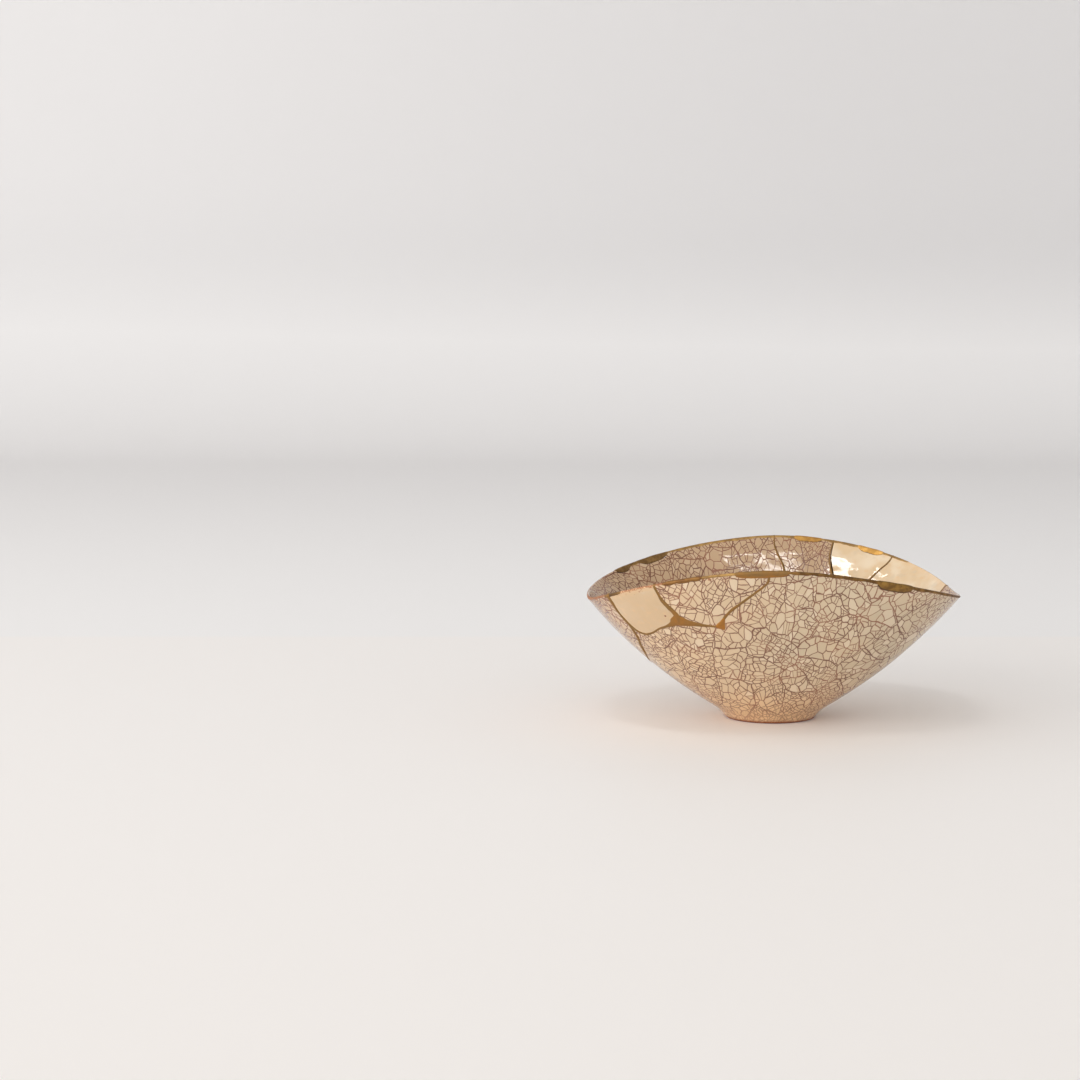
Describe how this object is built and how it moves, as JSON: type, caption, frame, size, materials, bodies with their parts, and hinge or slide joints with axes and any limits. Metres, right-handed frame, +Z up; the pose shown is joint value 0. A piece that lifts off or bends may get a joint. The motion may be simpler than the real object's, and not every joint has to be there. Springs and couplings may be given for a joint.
{
  "type": "kintsugi bowl",
  "caption": "Thin oval ceramic bowl with a wavy rim on a small ring foot, its broken wall and chipped rim mended with gold lacquer.",
  "frame": {"origin": "centre of the foot ring's underside, which is also the centre of the bounding box's underside", "axes": "+X along the bowl's length, towards its right end as the picture shows it; +Y towards its back; +Z up through the foot"},
  "size_m": [0.18, 0.155, 0.0815],
  "materials": {
    "crackle_glaze": "glossy cream glaze with brown crackle",
    "ivory_glaze": "glossy plain ivory glaze",
    "gold_lacquer": "gold powder on lacquer, satin"
  },
  "bodies": {
    "root": {"bowl_body": "crackle_glaze", "sherd_left": "crackle_glaze", "sherd_front": "crackle_glaze", "sherd_back": "crackle_glaze", "ivory_sherd_front": "ivory_glaze", "ivory_sherd_back": "ivory_glaze", "ivory_sherd_right": "ivory_glaze", "gold_seams": "gold_lacquer", "gold_fill_front_left": "gold_lacquer", "gold_fill_front_right": "gold_lacquer", "gold_fill_back_right": "gold_lacquer", "gold_fill_back_middle": "gold_lacquer", "gold_fill_back_left": "gold_lacquer"}
  },
  "joints": []
}
